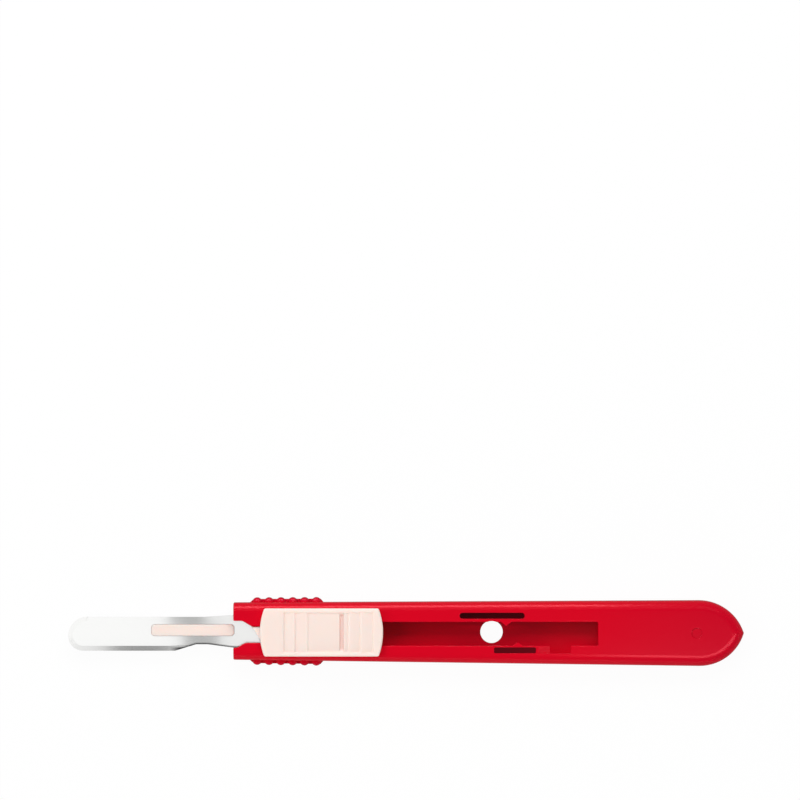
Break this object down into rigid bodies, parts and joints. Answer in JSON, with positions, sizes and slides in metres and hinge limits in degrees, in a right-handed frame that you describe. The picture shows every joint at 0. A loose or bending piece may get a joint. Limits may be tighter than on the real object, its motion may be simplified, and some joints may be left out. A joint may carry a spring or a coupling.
{
  "type": "retractable disposable scalpel",
  "caption": "Disposable scalpel with a round-bellied steel blade on a carrier that slides back into a ribbed moulded handle under a stepped thumb pad.",
  "frame": {"origin": "where the axis of the cross hole through the handle meets the plain back face", "axes": "+X towards the tail, along the handle and the slide; +Y towards the blade's spine; +Z out of the back face towards the thumb pad"},
  "size_m": [0.1438, 0.0146, 0.0092],
  "materials": {
    "handle_red": "glossy injection moulding",
    "carrier_ivory": "satin injection moulding",
    "blade_steel": "bright rolled faces with a ground edge"
  },
  "bodies": {
    "handle": {"handle": "handle_red"},
    "carrier": {"blade_carrier": "carrier_ivory", "blade": "blade_steel"}
  },
  "joints": [
    {"name": "carrier_slide", "type": "slide", "parent": "handle", "child": "carrier", "axis": [1, 0, 0], "range_m": [0, 0.04]}
  ]
}
